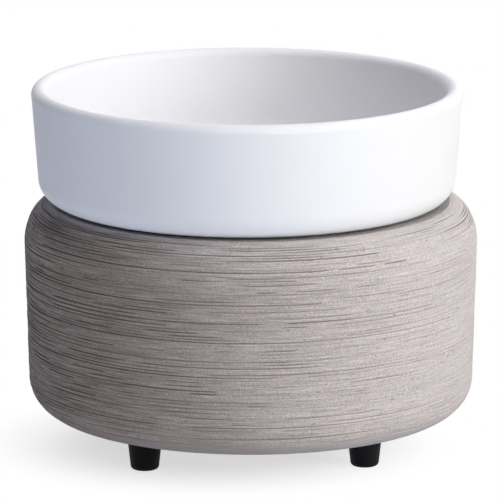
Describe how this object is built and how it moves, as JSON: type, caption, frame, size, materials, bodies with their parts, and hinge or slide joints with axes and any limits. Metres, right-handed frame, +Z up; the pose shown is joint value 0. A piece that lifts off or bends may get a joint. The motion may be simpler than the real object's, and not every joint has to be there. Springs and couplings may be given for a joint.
{
  "type": "wax melt warmer",
  "caption": "Round electric wax melt warmer: a shallow white glazed dish lifts off a hot plate set in a combed taupe ceramic body that stands on rubber feet.",
  "frame": {"origin": "centre of the plane that the feet stand on, on the body's axis", "axes": "+Z up, -Y the front, +Y the rear with the inlet for the mains lead, +X to the right from the front"},
  "size_m": [0.13, 0.13, 0.1078],
  "materials": {
    "glazed_white": "smooth satin-gloss white glaze",
    "combed_stoneware": "matt taupe slip, combed in fine rings and sanded",
    "black_resin": "moulded, fine matt texture",
    "silicone": "translucent grey, smooth",
    "black_rubber": "smooth matt",
    "plate_aluminium": "turned face",
    "mica": "flaky sheet",
    "fibre_card": "pressed fibre board",
    "resistance_alloy": "rolled ribbon",
    "insulation_fibre": "soft needled fibre",
    "plated_steel": "bright zinc plate",
    "natural_nylon": "natural moulding",
    "brass": "turned",
    "fuse_case": "drawn can",
    "tinned_copper": "tinned",
    "black_lead": "extruded silicone sleeve",
    "white_lead": "extruded silicone sleeve"
  },
  "bodies": {
    "base": {"body_shell": "combed_stoneware", "plate_carrier": "black_resin", "base_pan": "black_resin", "carrier_seal": "silicone", "base_gasket": "silicone", "inlet_grommet": "black_rubber", "rear_foot": "black_rubber", "left_foot": "black_rubber", "right_foot": "black_rubber", "hot_plate": "plate_aluminium", "cover_mica": "mica", "under_mica": "mica", "heater_card": "fibre_card", "heater_ribbon": "resistance_alloy", "insulation_pad": "insulation_fibre", "pressure_cup": "plated_steel", "clamp_spider": "plated_steel", "fuse_clip": "plated_steel", "centre_stud": "plated_steel", "cup_nut": "plated_steel", "clamp_nut": "plated_steel", "tie_pillars": "plated_steel", "base_screws": "plated_steel", "terminal_screws": "plated_steel", "block_screw": "plated_steel", "terminal_block": "natural_nylon", "terminal_sleeves": "brass", "thermal_fuse": "fuse_case", "fuse_crimp": "tinned_copper", "neutral_crimp": "tinned_copper", "live_splice": "tinned_copper", "live_lead": "black_lead", "neutral_lead": "white_lead"},
    "dish": {"dish": "glazed_white"}
  },
  "joints": [
    {"name": "dish_lift", "type": "slide", "parent": "base", "child": "dish", "axis": [0, 0, 1], "range_m": [0, 0.08]}
  ]
}
